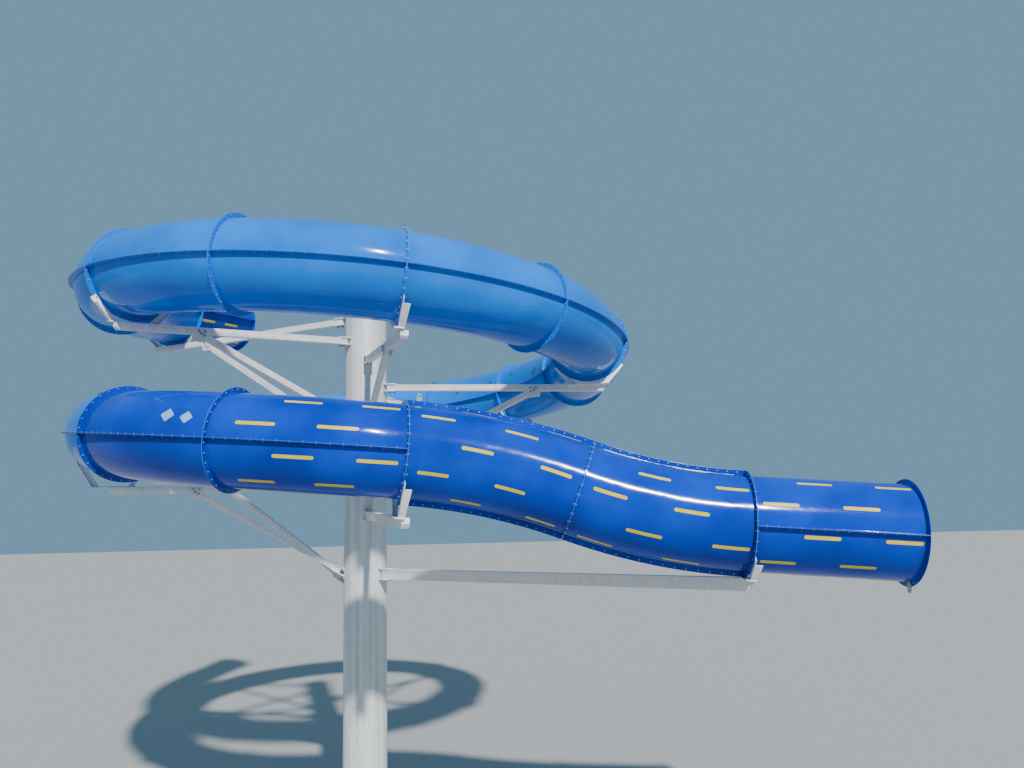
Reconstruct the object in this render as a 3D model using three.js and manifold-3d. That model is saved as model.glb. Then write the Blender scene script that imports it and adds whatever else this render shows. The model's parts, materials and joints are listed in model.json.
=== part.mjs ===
// Enclosed spiral tube slide carried by steel arms on one round column.
// Millimetres, +Z up. The origin is the centre of the column's footing on the ground.
// Riders come down the coil counter-clockwise, seen from above, and leave along +X.

import * as THREE from 'three';
import { mergeVertices } from 'three/addons/utils/BufferGeometryUtils.js';
import Module from 'manifold-3d';

const wasm = await Module();
wasm.setup();

// Tube: fibreglass half shells with flanges along the seams and round the ends.
const TUBE_RADIUS = 700;
const WALL = 12;
const FLANGE_RADIUS = 775;
const FLANGE_THICKNESS = 10;
const HALF_ARC_STEPS = 8;
const SEAT_GAP = 0.3;

// Coil: rings every 30 degrees, measured from -Y towards +X round the column.
const COIL_RADIUS = 4645;
const FIRST_RING_ANGLE = -103;
const SECTION_SWEEP = 30;
const COIL_SECTIONS = 16;
const HEIGHT_AT_FRONT = 9850;
const DROP_PER_TURN = 2645;
const ROYAL_COIL_SECTIONS = 2;

// Straight and bent sections before and after the coil. Angles in degrees.
const ENTRY_LENGTH = 2100;
const BEND = { length: 2740, heading: -2.5, slope: 21 };
const DROP = { length: 2500, heading: -3, slope: 4.5 };
const EXIT = { length: 2320, heading: -3, slope: 4.5 };

// Column, footing and cap.
const COLUMN_RADIUS = 425;
const COLUMN_SIDES = 24;
const COLUMN_TOP = 10350;
const FOOTING_SIDE = 1160;
const FOOTING_HEIGHT = 700;
const BASE_PLATE_SIDE = 1080;
const BASE_PLATE_THICKNESS = 38;
const BASE_RIBS = 8;
const BASE_RIB = { reach: 110, height: 220, thickness: 16 };
const CAP = { radius: 450, thickness: 20 };

// Arms: box beams bolted between plates on the column, most with a knee brace.
const BEAM_WIDTH = 120;
const UPPER_BEAM_DEPTH = 125;
const LOWER_BEAM_DEPTH = 150;
const EXIT_BEAM_DEPTH = 190;
const BEAM_TO_COLUMN = 70;
const BEAM_OVERHANG = 330;
const BRACKET_PLATE = { reach: 250, width: 170, thickness: 18 };
const BRACE = { width: 100, depth: 110 };
const BRACE_GUSSET = { length: 220, height: 200, thickness: 12 };
const BEAM_NOSE = { height: 80, rake: 0.8 };
const LEG = { width: 100, thickness: 12, foot: 300, flank: 36 };
const LEG_LEAF = { foot: 88, head: 115, shortBy: 90 };
const SEAT = { length: 760, width: 150, height: 20 };
const EXIT_SEAT = { length: 760, width: 150, height: 15 };
const SEAT_LEAD = 25;
const EMBED = 8;
const RING_CLEARANCE = 2;

const royalBlue = { color: 0x0046c8, roughness: 0.18, metalness: 0 };
const azureBlue = { color: 0x0090f0, roughness: 0.18, metalness: 0 };
const galvanised = { color: 0xb4b4b0, roughness: 0.5, metalness: 0.7 };
const columnGrey = { color: 0xa9b0b4, roughness: 0.55, metalness: 0.4 };
const concrete = { color: 0xb9b4a8, roughness: 0.9, metalness: 0 };

const UP = new THREE.Vector3(0, 0, 1);
const radians = THREE.MathUtils.degToRad;

const slide = new THREE.Group();

function addNode(name, geometry, finish) {
  const mesh = new THREE.Mesh(geometry, new THREE.MeshStandardMaterial(finish));
  mesh.name = name;
  slide.add(mesh);
}

// A frame on the centreline: side points to the rider's right, rise is square to both.
function makeFrame(centre, tangent) {
  const side = new THREE.Vector3().crossVectors(tangent, UP).normalize();
  const rise = new THREE.Vector3().crossVectors(side, tangent);
  return { centre, tangent, side, rise };
}

function coilFrame(angle) {
  const a = radians(angle);
  const fall = DROP_PER_TURN / (2 * Math.PI);
  const centre = new THREE.Vector3(
    COIL_RADIUS * Math.sin(a), -COIL_RADIUS * Math.cos(a), HEIGHT_AT_FRONT - fall * a);
  const tangent = new THREE.Vector3(
    COIL_RADIUS * Math.cos(a), COIL_RADIUS * Math.sin(a), -fall).normalize();
  return makeFrame(centre, tangent);
}

function direction(heading, slope) {
  const h = radians(heading);
  const s = radians(slope);
  return new THREE.Vector3(
    Math.cos(h) * Math.cos(s), Math.sin(h) * Math.cos(s), -Math.sin(s));
}

// A stretch gives the frame at a distance along it, in millimetres.
function coilStretch(fromAngle) {
  const start = coilFrame(fromAngle);
  const end = coilFrame(fromAngle + SECTION_SWEEP);
  const length = radians(SECTION_SWEEP) * COIL_RADIUS / Math.hypot(start.tangent.x, start.tangent.y);
  const at = (distance) => coilFrame(fromAngle + SECTION_SWEEP * distance / length);
  return { length, at, start, end };
}

// Heading and slope change evenly with distance from the start frame to the given ones.
function bentStretch(start, { length, heading, slope }) {
  const fromHeading = THREE.MathUtils.radToDeg(Math.atan2(start.tangent.y, start.tangent.x));
  const fromSlope = -THREE.MathUtils.radToDeg(Math.asin(start.tangent.z));
  const directionAt = (distance) => direction(
    THREE.MathUtils.lerp(fromHeading, heading, distance / length),
    THREE.MathUtils.lerp(fromSlope, slope, distance / length));
  const at = (distance) => {
    const steps = 16;
    const centre = start.centre.clone();
    for (let i = 0; i < steps; i += 1) {
      centre.addScaledVector(directionAt(distance * (i + 0.5) / steps), distance / steps);
    }
    return makeFrame(centre, directionAt(distance));
  };
  return { length, at, start, end: at(length) };
}

// Outline of a half shell in the plane of a frame, counter-clockwise seen by the rider.
// outerRadius is the laminate's, or the flange's at the two ends.
function halfShellOutline(outerRadius) {
  const low = SEAT_GAP / 2;
  const high = low + FLANGE_THICKNESS;
  const across = (radius, y) => Math.sqrt(radius * radius - y * y);
  const polar = (radius, angle) => [radius * Math.cos(angle), radius * Math.sin(angle)];
  const innerRadius = TUBE_RADIUS - WALL;
  const step = Math.PI / HALF_ARC_STEPS;
  const atFlange = outerRadius > TUBE_RADIUS;
  const root = atFlange ? polar(outerRadius, step / 5) : [across(outerRadius, high), high];
  const mirror = ([x, y]) => [-x, y];
  const tips = [[across(FLANGE_RADIUS, low), low], [across(FLANGE_RADIUS, high), high]];

  const points = [...tips, root];
  for (let i = 1; i < HALF_ARC_STEPS; i += 1) {
    points.push(polar(outerRadius, i * step));
  }
  points.push(mirror(root), mirror(tips[1]), mirror(tips[0]));
  points.push([-across(innerRadius, low), low]);
  for (let i = HALF_ARC_STEPS - 1; i > 0; i -= 1) {
    points.push(polar(innerRadius, i * step));
  }
  points.push([across(innerRadius, low), low]);
  return points;
}

// Joins outlines in a row of planes into one closed surface.
function loft(loops, outline) {
  const count = outline.length;
  const vertices = loops.flat().flatMap((p) => [p.x, p.y, p.z]);
  const radius = outline.map(([x, y]) => Math.hypot(x, y));
  const triangles = [];
  const addTriangle = (a, b, c) => {
    const corners = [a, b, c].map((k) => loops[Math.floor(k / count)][k % count]);
    const thin = corners.some((p, i) => p.distanceTo(corners[(i + 1) % 3]) < 1e-6);
    if (!thin) {
      triangles.push(a, b, c);
    }
  };
  for (let j = 0; j + 1 < loops.length; j += 1) {
    for (let i = 0; i < count; i += 1) {
      const next = (i + 1) % count;
      const [a, b] = [j * count + i, j * count + next];
      const [c, d] = [a + count, b + count];
      // Facing seams of two half shells share one diagonal, so they can't cross.
      if (radius[next] < radius[i] - 1) {
        addTriangle(a, c, b);
        addTriangle(b, c, d);
      } else {
        addTriangle(a, c, d);
        addTriangle(a, d, b);
      }
    }
  }
  const face = THREE.ShapeUtils.triangulateShape(outline.map(([x, y]) => new THREE.Vector2(x, y)), []);
  const last = (loops.length - 1) * count;
  for (const [a, b, c] of face) {
    addTriangle(a, b, c);
    addTriangle(last + c, last + b, last + a);
  }
  const geometry = new THREE.BufferGeometry();
  geometry.setAttribute('position', new THREE.Float32BufferAttribute(vertices, 3));
  geometry.setIndex(triangles);
  return geometry;
}

// The same frame, moved along its own tangent, so that a flange has even thickness.
function shifted(frame, distance) {
  return { ...frame, centre: frame.centre.clone().addScaledVector(frame.tangent, distance) };
}

function halfShell(stretch, turn, steps) {
  const shell = halfShellOutline(TUBE_RADIUS);
  const flange = halfShellOutline(FLANGE_RADIUS);
  const near = SEAT_GAP / 2;
  const far = near + FLANGE_THICKNESS;
  const { start, end, length } = stretch;
  const stations = [
    [shifted(start, near), flange], [shifted(start, far), flange], [shifted(start, far), shell]];
  for (let i = 1; i < steps; i += 1) {
    stations.push([stretch.at(length * i / steps), shell]);
  }
  stations.push(
    [shifted(end, -far), shell], [shifted(end, -far), flange], [shifted(end, -near), flange]);
  const [cos, sin] = [Math.cos(radians(turn)), Math.sin(radians(turn))];
  const loops = stations.map(([frame, outline]) => outline.map(([x, y]) => frame.centre.clone()
    .addScaledVector(frame.side, x * cos - y * sin)
    .addScaledVector(frame.rise, x * sin + y * cos)));
  return loft(loops, flange);
}

function addSection(name, stretch, steps, finish, halves) {
  for (const [half, turn] of halves) {
    addNode(`${name}_${half}`, halfShell(stretch, turn, steps), finish);
  }
}

// Boolean joins and cuts.
function solid(geometry) {
  const bare = geometry.clone();
  bare.deleteAttribute('normal');
  bare.deleteAttribute('uv');
  const merged = mergeVertices(bare, 1e-4);
  return new wasm.Manifold(new wasm.Mesh({
    numProp: 3,
    vertProperties: new Float32Array(merged.attributes.position.array),
    triVerts: new Uint32Array(merged.index.array),
  }));
}

function toGeometry(manifold) {
  const mesh = manifold.getMesh();
  const geometry = new THREE.BufferGeometry();
  geometry.setAttribute('position', new THREE.Float32BufferAttribute(mesh.vertProperties, 3));
  geometry.setIndex(Array.from(mesh.triVerts));
  return geometry;
}

// A beam from one point to another in the arm's own plane, raked back under its nose.
function noseBeam(from, to, depth, width) {
  const length = from.distanceTo(to);
  const rake = (depth - BEAM_NOSE.height) * BEAM_NOSE.rake;
  const side = new THREE.Shape([
    new THREE.Vector2(0, -depth / 2), new THREE.Vector2(length - rake, -depth / 2),
    new THREE.Vector2(length, depth / 2 - BEAM_NOSE.height), new THREE.Vector2(length, depth / 2),
    new THREE.Vector2(0, depth / 2)]);
  const beam = new THREE.ExtrudeGeometry(side, { depth: width, bevelEnabled: false });
  beam.translate(0, 0, -width / 2);
  beam.rotateX(Math.PI / 2);
  beam.rotateY(-Math.atan2(to.y - from.y, to.x - from.x));
  beam.translate(from.x, 0, from.y);
  return beam;
}

// A box whose length runs from one point to another in the arm's own plane.
function boxBetween(from, to, depth, width) {
  const length = from.distanceTo(to);
  const box = new THREE.BoxGeometry(length, width, depth);
  const slope = Math.atan2(to.y - from.y, to.x - from.x);
  box.rotateY(-slope);
  box.translate((from.x + to.x) / 2, 0, (from.y + to.y) / 2);
  return box;
}

function columnGeometry(radius, bottom, top) {
  const geometry = new THREE.CylinderGeometry(radius, radius, top - bottom, COLUMN_SIDES);
  geometry.rotateX(Math.PI / 2);
  geometry.translate(0, 0, (top + bottom) / 2);
  return geometry;
}

// Plates above and below a member, from inside the column out along the member's axis.
function bracketPlates(root, tip, depth) {
  const { reach, width, thickness } = BRACKET_PLATE;
  const along = tip.clone().sub(root).normalize();
  const across = new THREE.Vector2(-along.y, along.x).multiplyScalar((depth + thickness) / 2 - 1);
  const inner = root.clone().addScaledVector(along, -COLUMN_RADIUS / 2);
  const outer = root.clone().addScaledVector(along, reach - BEAM_TO_COLUMN);
  return [-1, 1].map((s) => boxBetween(
    inner.clone().addScaledVector(across, s), outer.clone().addScaledVector(across, s),
    thickness, width));
}

// A leg from the seat to the ring's flank, as an angle on the ring's down-run side: a plate
// against the flange, and a leaf along its outer edge that narrows to the foot.
function ringLeg(ring, sign, footHeight) {
  const { width, thickness } = LEG;
  const flank = radians(LEG.flank);
  const head = new THREE.Vector2(
    sign * FLANGE_RADIUS * Math.cos(flank), -FLANGE_RADIUS * Math.sin(flank));
  const foot = new THREE.Vector2(sign * LEG.foot, footHeight);
  const along = head.clone().sub(foot).normalize();
  const slant = Math.abs(along.x / along.y);

  // In the leg's own frame x runs up the leg, y down the run and z across the plate.
  const ownFrame = new THREE.Matrix4().makeBasis(
    new THREE.Vector3(along.x, along.y, 0), new THREE.Vector3(0, 0, -1),
    new THREE.Vector3(-along.y, along.x, 0));
  ownFrame.setPosition(foot.x, foot.y, -FLANGE_THICKNESS - 1.5 * SEAT_GAP);
  const toWorld = frameMatrix(ring).multiply(ownFrame);
  const length = head.distanceTo(foot);
  const outer = -sign * width / 2;

  // Both feet are cut level, so the whole width stands in the seat.
  const levelCut = width / 2 * slant;
  const plate = new THREE.ExtrudeGeometry(new THREE.Shape([
    new THREE.Vector2(-levelCut, -outer), new THREE.Vector2(length, -outer),
    new THREE.Vector2(length, outer), new THREE.Vector2(levelCut, outer),
  ]), { depth: thickness, bevelEnabled: false });
  plate.rotateX(Math.PI / 2);
  plate.translate(0, thickness, 0);

  const leafFoot = (width / 2 - thickness) * slant;
  const leafHead = length - LEG_LEAF.shortBy;
  const leaf = new THREE.ExtrudeGeometry(new THREE.Shape([
    new THREE.Vector2(leafFoot, 0), new THREE.Vector2(leafHead, 0),
    new THREE.Vector2(leafHead, LEG_LEAF.head), new THREE.Vector2(leafFoot, LEG_LEAF.foot),
  ]), { depth: thickness, bevelEnabled: false });
  leaf.translate(0, 0, sign > 0 ? outer : outer - thickness);
  return [plate.applyMatrix4(toWorld), leaf.applyMatrix4(toWorld)];
}

// Ring plane to world: x is side, y is rise and z points back up the run.
function frameMatrix(frame) {
  const back = frame.tangent.clone().negate();
  return new THREE.Matrix4().makeBasis(frame.side, frame.rise, back).setPosition(frame.centre);
}

// drop lowers the beam under the ring, and lift raises it at the column.
function supportArm({
  ring, depth, drop = 0, lift = 0, overhang = BEAM_OVERHANG, brace, seat = SEAT,
}) {
  const middle = shifted(ring, SEAT_LEAD).centre;
  const reach = Math.hypot(middle.x, middle.y);
  const azimuth = Math.atan2(middle.y, middle.x);
  const toArm = new THREE.Matrix4().makeRotationZ(azimuth);
  const ringBottom = ring.centre.z - FLANGE_RADIUS * ring.rise.z;
  const underRing = ringBottom - RING_CLEARANCE - drop - seat.height + EMBED - depth / 2;
  const root = COLUMN_RADIUS + BEAM_TO_COLUMN;
  const onAxis = (x) => new THREE.Vector2(x, underRing + lift * (reach - x) / (reach - root));
  const tip = onAxis(reach + overhang);
  const pieces = [
    noseBeam(onAxis(root), tip, depth, BEAM_WIDTH), ...bracketPlates(onAxis(root), tip, depth)];

  if (brace) {
    const knee = onAxis(brace.at);
    const foot = new THREE.Vector2(root, onAxis(root).y - brace.fall);
    pieces.push(boxBetween(foot, knee, BRACE.depth, BRACE.width));
    pieces.push(...bracketPlates(foot, knee, BRACE.depth));
    for (const s of [-1, 1]) {
      const { length, height, thickness } = BRACE_GUSSET;
      const gusset = new THREE.BoxGeometry(length, thickness, height);
      gusset.translate(
        knee.x - length / 2, s * (BEAM_WIDTH / 2 + thickness / 2 - 1), knee.y - height / 2 + depth / 4);
      pieces.push(gusset);
    }
  }
  for (const piece of pieces) {
    piece.applyMatrix4(toArm);
  }

  // A seat lies along the beam, a little down the run of the ring, and the legs stand on it.
  const seatTop = -(FLANGE_RADIUS + RING_CLEARANCE + drop);
  const bar = new THREE.BoxGeometry(seat.length, seat.height, seat.width);
  bar.translate(0, seatTop - seat.height / 2, -SEAT_LEAD);
  bar.applyMatrix4(frameMatrix(ring));
  const legs = [-1, 1].flatMap((sign) => ringLeg(ring, sign, seatTop - EMBED));
  pieces.push(bar, ...legs);

  const joined = pieces.map(solid).reduce((all, piece) => all.add(piece));
  const column = solid(columnGeometry(COLUMN_RADIUS + SEAT_GAP, 0, COLUMN_TOP));
  const clearance = new THREE.CylinderGeometry(
    TUBE_RADIUS + RING_CLEARANCE, TUBE_RADIUS + RING_CLEARANCE, 6 * FLANGE_THICKNESS, 4 * HALF_ARC_STEPS);
  clearance.rotateX(Math.PI / 2);
  clearance.applyMatrix4(frameMatrix(ring));
  return toGeometry(joined.subtract(column).subtract(solid(clearance)));
}

// Column and footing
const footing = new THREE.BoxGeometry(FOOTING_SIDE, FOOTING_SIDE, FOOTING_HEIGHT);
footing.translate(0, 0, FOOTING_HEIGHT / 2);
addNode('concrete_footing', footing, concrete);

const plateBottom = FOOTING_HEIGHT + SEAT_GAP;
const plateTop = plateBottom + BASE_PLATE_THICKNESS;
const columnBottom = plateTop + SEAT_GAP;

function basePlate() {
  const plate = new THREE.BoxGeometry(BASE_PLATE_SIDE, BASE_PLATE_SIDE, BASE_PLATE_THICKNESS);
  plate.translate(0, 0, plateBottom + BASE_PLATE_THICKNESS / 2);
  let joined = solid(plate);
  for (let i = 0; i < BASE_RIBS; i += 1) {
    const { reach, height, thickness } = BASE_RIB;
    const length = reach + COLUMN_RADIUS / 2;
    const rib = new THREE.BoxGeometry(length, thickness, height);
    rib.translate(COLUMN_RADIUS / 2 + length / 2, 0, plateTop + height / 2 - 1);
    rib.rotateZ(i * 2 * Math.PI / BASE_RIBS);
    joined = joined.add(solid(rib));
  }
  const bore = solid(columnGeometry(COLUMN_RADIUS + SEAT_GAP, plateTop, COLUMN_TOP));
  return toGeometry(joined.subtract(bore));
}

addNode('base_plate', basePlate(), galvanised);
addNode('column', columnGeometry(COLUMN_RADIUS, columnBottom, COLUMN_TOP), columnGrey);

const cap = new THREE.CylinderGeometry(CAP.radius, CAP.radius, CAP.thickness, COLUMN_SIDES);
cap.rotateX(Math.PI / 2);
cap.translate(0, 0, COLUMN_TOP + SEAT_GAP + CAP.thickness / 2);
addNode('column_cap', cap, galvanised);

// Tube sections, from the entry down to the open exit end
const UPPER_AND_LOWER = [['upper', 0], ['lower', 180]];
const RIGHT_AND_LEFT = [['right', -90], ['left', 90]];

const coilStart = coilFrame(FIRST_RING_ANGLE);
const entry = { length: ENTRY_LENGTH, start: shifted(coilStart, -ENTRY_LENGTH), end: coilStart };
addSection('entry_tube', entry, 1, royalBlue, UPPER_AND_LOWER);

const rings = [coilStart];
for (let i = 1; i <= COIL_SECTIONS; i += 1) {
  const stretch = coilStretch(FIRST_RING_ANGLE + SECTION_SWEEP * (i - 1));
  const finish = i > COIL_SECTIONS - ROYAL_COIL_SECTIONS ? royalBlue : azureBlue;
  addSection(`coil_tube_${String(i).padStart(2, '0')}`, stretch, 4, finish, UPPER_AND_LOWER);
  rings.push(stretch.end);
}

const bend = bentStretch(rings[COIL_SECTIONS], BEND);
addSection('bend_tube', bend, 4, royalBlue, RIGHT_AND_LEFT);
const drop = bentStretch(bend.end, DROP);
addSection('drop_tube', drop, 4, royalBlue, RIGHT_AND_LEFT);
const exit = bentStretch(drop.end, EXIT);
addSection('exit_tube', exit, 1, royalBlue, UPPER_AND_LOWER);

// Arms, by the ring that each one carries. Ring 1 is the second of the coil.
const upper = { depth: UPPER_BEAM_DEPTH };
const lower = { depth: LOWER_BEAM_DEPTH };
const arms = {
  arm_entry: { ...upper, ring: rings[0], lift: 310, overhang: 400, brace: { at: 3800, fall: 2400 } },
  arm_upper_left: {
    ...upper, ring: rings[2], drop: 40, lift: 280, overhang: 300, brace: { at: 3640, fall: 1560 },
  },
  arm_upper_front: { ...upper, ring: rings[4], drop: 80, lift: 350, brace: { at: 3300, fall: 1250 } },
  arm_upper_right: {
    ...upper, ring: rings[6], drop: 40, lift: 220, overhang: 290, brace: { at: 3650, fall: 1600 },
  },
  arm_upper_back: { ...upper, ring: rings[8], lift: 400, brace: { at: 3520, fall: 1930 } },
  arm_lower_back: { ...lower, ring: rings[12], drop: 250, brace: { at: 3420, fall: 2030 } },
  arm_lower_left: { ...lower, ring: rings[13], drop: 250, overhang: 60, brace: { at: 3300, fall: 1650 } },
  arm_lower_front: { ...lower, ring: rings[16], drop: 170 },
  arm_exit: { ring: drop.end, depth: EXIT_BEAM_DEPTH, lift: -135, overhang: 60, seat: EXIT_SEAT },
};
for (const [name, arm] of Object.entries(arms)) {
  addNode(name, supportArm(arm), galvanised);
}

slide.updateMatrixWorld(true);

export default slide;
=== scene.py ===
# %% [markdown]
# # An enclosed tube slide on one column
# The solids of this slide come from its CAD model, at their true size. This lesson loads them and gives
# every visible surface its real form and finish: smooth glass-fibre shells with a glossy skin, flanges
# with their bolts, zinc-coated steel, and a cast footing.

# %% Load the model
import json
import math

import bmesh
import bpy
from mathutils import Matrix, Vector

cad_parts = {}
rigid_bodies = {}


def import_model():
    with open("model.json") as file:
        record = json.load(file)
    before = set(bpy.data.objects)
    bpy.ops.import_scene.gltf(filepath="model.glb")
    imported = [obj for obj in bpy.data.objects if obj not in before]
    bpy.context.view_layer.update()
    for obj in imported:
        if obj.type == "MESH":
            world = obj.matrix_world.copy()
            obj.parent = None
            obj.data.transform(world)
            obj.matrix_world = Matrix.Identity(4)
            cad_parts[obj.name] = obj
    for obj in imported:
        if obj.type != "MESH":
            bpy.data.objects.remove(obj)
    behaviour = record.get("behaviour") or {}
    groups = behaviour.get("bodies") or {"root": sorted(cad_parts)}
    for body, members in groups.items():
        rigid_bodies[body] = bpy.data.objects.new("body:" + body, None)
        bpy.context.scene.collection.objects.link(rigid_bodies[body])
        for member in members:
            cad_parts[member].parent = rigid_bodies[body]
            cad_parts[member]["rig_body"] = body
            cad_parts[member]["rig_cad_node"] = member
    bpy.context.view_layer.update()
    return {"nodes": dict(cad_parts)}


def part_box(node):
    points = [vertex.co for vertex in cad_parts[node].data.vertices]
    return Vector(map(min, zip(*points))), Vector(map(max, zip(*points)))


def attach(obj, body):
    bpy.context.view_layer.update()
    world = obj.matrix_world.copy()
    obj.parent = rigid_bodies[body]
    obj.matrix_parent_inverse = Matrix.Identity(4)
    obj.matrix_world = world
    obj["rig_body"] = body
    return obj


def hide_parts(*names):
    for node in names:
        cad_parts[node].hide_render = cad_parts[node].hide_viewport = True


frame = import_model()
print("CAD nodes:", len(frame["nodes"]))

# %% [markdown]
# ## The path of the slide
# The rider's tube is a coil of equal sections, then a bend, a drop and a straight. All of them can be
# told by stations: a centre, the heading of the run and its slope. A station's seat is the matrix that
# puts x to the rider's right, y up, and z back up the run. The shells, bolts and stripes all use it.
# Lengths are in metres and angles in degrees.

# %% Sizes of the tube and the stations along it
TUBE_RADIUS = 0.700
FLANGE_RADIUS = 0.775
LAMINATE = 0.010
LIP = 0.01015
COIL_RADIUS = 4.645
DROP_PER_TURN = 2.645
HEIGHT_AT_FRONT = 9.850
FIRST_RING_ANGLE = -103
SECTION_SWEEP = 30
COIL_SECTIONS = 16
COIL_SLOPE = math.degrees(math.atan(DROP_PER_TURN / (2 * math.pi * COIL_RADIUS)))
ENTRY_LENGTH = 2.100
STEPS, SUBSTEPS = 12, 4


def direction(heading, slope):
    h, s = math.radians(heading), math.radians(slope)
    return Vector((math.cos(h) * math.cos(s), math.sin(h) * math.cos(s), -math.sin(s)))


def coil_station(angle):
    a = math.radians(angle)
    height = HEIGHT_AT_FRONT - DROP_PER_TURN * angle / 360
    centre = Vector((COIL_RADIUS * math.sin(a), -COIL_RADIUS * math.cos(a), height))
    return centre, angle, COIL_SLOPE


def run_on(start, length, heading, slope, steps=STEPS):
    """Stations of a stretch whose heading and slope change evenly from the start's to the given ones."""
    centre, heading_0, slope_0 = start
    heading_0 = (heading_0 + 180) % 360 - 180

    def turned(t):
        return heading_0 + (heading - heading_0) * t, slope_0 + (slope - slope_0) * t

    stations = [(centre, heading_0, slope_0)]
    moves = steps * SUBSTEPS
    for i in range(moves):
        centre = centre + direction(*turned((i + 0.5) / moves)) * length / moves
        if (i + 1) % SUBSTEPS == 0:
            stations.append((centre, *turned((i + 1) / moves)))
    return stations


def coil_stations(number):
    first = FIRST_RING_ANGLE + SECTION_SWEEP * (number - 1)
    return [coil_station(first + SECTION_SWEEP * i / STEPS) for i in range(STEPS + 1)]


def seat(station):
    centre, heading, slope = station
    tangent = direction(heading, slope)
    side = tangent.cross(Vector((0, 0, 1))).normalized()
    rise = side.cross(tangent)
    turn = Matrix((side, rise, -tangent)).transposed().to_4x4()
    return Matrix.Translation(centre) @ turn


def spin(angle, axis="Z"):
    return Matrix.Rotation(math.radians(angle), 4, axis)


coil_start = coil_station(FIRST_RING_ANGLE)
entry_start = (coil_start[0] - direction(*coil_start[1:]) * ENTRY_LENGTH, *coil_start[1:])
STRETCHES = {"entry_tube": [entry_start, coil_start]}
for number in range(1, COIL_SECTIONS + 1):
    STRETCHES[f"coil_tube_{number:02d}"] = coil_stations(number)
STRETCHES["bend_tube"] = run_on(STRETCHES["coil_tube_16"][-1], 2.740, -2.5, 21)
STRETCHES["drop_tube"] = run_on(STRETCHES["bend_tube"][-1], 2.500, -3, 4.5)
STRETCHES["exit_tube"] = run_on(STRETCHES["drop_tube"][-1], 2.320, -3, 4.5, steps=1)
print("sections:", len(STRETCHES), "end of the run:", STRETCHES["exit_tube"][-1][0])

# %% [markdown]
# ## Finishes
# Gelcoat is the pigmented skin of a glass-fibre moulding. It is glossy, and its gloss is what tells it
# from paint: the skin follows the weave and the mould, so reflections ripple, and fine scratches run
# with the water. A coated shader gives the gloss, wide noise bends the reflections, and noise that is
# stretched flat gives the scratches. Noise on object coordinates holds its scale on every section.


# %% Small helpers for shader nodes
def new_finish(name):
    finish = bpy.data.materials.new(name)
    finish.use_nodes = True
    tree = finish.node_tree
    return finish, tree, tree.nodes["Principled BSDF"]


def feed(tree, socket, value):
    """Links a socket to another node's output, or sets its plain value."""
    if isinstance(value, bpy.types.NodeSocket):
        tree.links.new(value, socket)
    else:
        socket.default_value = value


def add_node(tree, kind, **inputs):
    node = tree.nodes.new(kind)
    for key, value in inputs.items():
        feed(tree, node.inputs[key], value)
    return node


def stretched_noise(tree, scale, stretch=(1, 1, 1), detail=4.0, roughness=0.55):
    """Noise on object coordinates. A stretch above 1 squeezes it on that axis, below 1 draws it out."""
    coordinates = add_node(tree, "ShaderNodeTexCoord")
    mapping = add_node(tree, "ShaderNodeMapping", Vector=coordinates.outputs["Object"], Scale=stretch)
    noise = add_node(
        tree, "ShaderNodeTexNoise",
        Vector=mapping.outputs["Vector"], Scale=scale, Detail=detail, Roughness=roughness,
    )
    return noise.outputs["Fac"]


def ramp(tree, value, *stops):
    node = add_node(tree, "ShaderNodeValToRGB", Fac=value)
    elements = node.color_ramp.elements
    while len(elements) < len(stops):
        elements.new(0.5)
    for element, (position, colour) in zip(elements, stops):
        element.position = position
        element.color = (*colour, 1)
    return node.outputs["Color"]


def spread(tree, value, given, wanted):
    """Maps a value from one range, as a low and a high end, to another, and holds it inside that."""
    node = add_node(tree, "ShaderNodeMapRange", Value=value)
    for key, number in zip(("From Min", "From Max", "To Min", "To Max"), (*given, *wanted)):
        node.inputs[key].default_value = number
    return node.outputs["Result"]


def mix_colours(tree, amount, first, second):
    node = add_node(tree, "ShaderNodeMix")
    node.data_type = "RGBA"
    # A mix node has sockets for every kind of value, and the colour's own are reached by number.
    for index, value in ((0, amount), (6, first), (7, second)):
        feed(tree, node.inputs[index], value)
    return node.outputs[2]


def add_bump(tree, shader, height, strength, distance, under=None):
    """Bends the surface by a height, on top of another bump where one is given."""
    bump = add_node(tree, "ShaderNodeBump", Height=height, Strength=strength, Distance=distance)
    if under:
        tree.links.new(under, bump.inputs["Normal"])
    tree.links.new(bump.outputs["Normal"], shader.inputs["Normal"])
    return bump.outputs["Normal"]


# %% Gelcoat in two blues
def gelcoat(name, deep, bright, worn):
    finish, tree, shader = new_finish(name)
    cloud = stretched_noise(tree, 0.9, detail=3.0)
    scratches = stretched_noise(tree, 9.0, (1, 1, 14), detail=6.0, roughness=0.7)
    tone = mix_colours(tree, spread(tree, cloud, (0.35, 0.65), (0, 1)), (*deep, 1), (*bright, 1))
    faded = mix_colours(tree, spread(tree, scratches, (0.60, 0.85), (0, 0.35)), tone, (*worn, 1))
    tree.links.new(faded, shader.inputs["Base Color"])
    tree.links.new(spread(tree, scratches, (0.40, 0.80), (0.09, 0.20)), shader.inputs["Roughness"])
    shader.inputs["Coat Weight"].default_value = 0.10
    shader.inputs["Coat Roughness"].default_value = 0.03
    shader.inputs["Specular IOR Level"].default_value = 0.14
    ripple = stretched_noise(tree, 2.2, (1, 1, 1.6), detail=1.5)
    peel = stretched_noise(tree, 55.0, detail=2.0)
    rippled = add_bump(tree, shader, ripple, strength=0.35, distance=0.012)
    add_bump(tree, shader, peel, strength=0.06, distance=0.001, under=rippled)
    return finish


ROYAL = gelcoat(
    "royal gelcoat", deep=(0.0, 0.030, 0.34), bright=(0.0, 0.052, 0.50), worn=(0.0, 0.12, 0.62)
)
AZURE = gelcoat(
    "azure gelcoat", deep=(0.0, 0.135, 0.58), bright=(0.0, 0.18, 0.72), worn=(0.0, 0.27, 0.85)
)

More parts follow.
